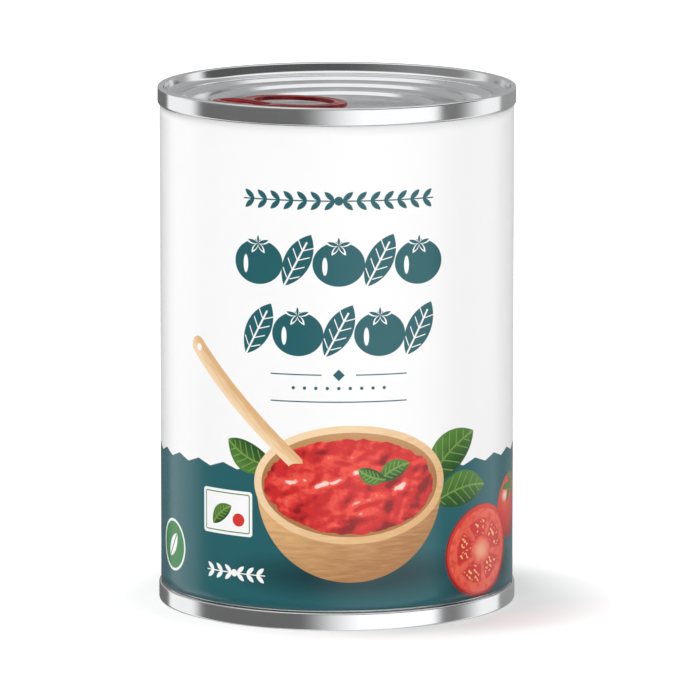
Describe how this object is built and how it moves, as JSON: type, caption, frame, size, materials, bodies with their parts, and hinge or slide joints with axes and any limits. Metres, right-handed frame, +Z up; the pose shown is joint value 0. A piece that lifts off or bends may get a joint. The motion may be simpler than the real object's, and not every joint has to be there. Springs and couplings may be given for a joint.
{
  "type": "tin of tomato sauce",
  "caption": "Upright round steel food tin with a double seam at each end, a sunk stepped lid with a red ring-pull, and a white and teal paper label with a bowl of red sauce.",
  "frame": {"origin": "on the floor at the middle of the tin's foot", "axes": "+Z up the tin's axis; -Y towards the middle of the label's printed front"},
  "size_m": [0.0762, 0.0762, 0.1105],
  "materials": {
    "tinplate": "bright tinplate, faintly brushed",
    "label_paper": "coated paper with a soft gloss, printed white, teal, red and wood tan",
    "red_lacquer": "glossy red lacquer on steel"
  },
  "bodies": {
    "root": {"tin_body": "tinplate", "label": "label_paper", "lid": "tinplate", "base": "tinplate", "pull": "red_lacquer"}
  },
  "joints": []
}
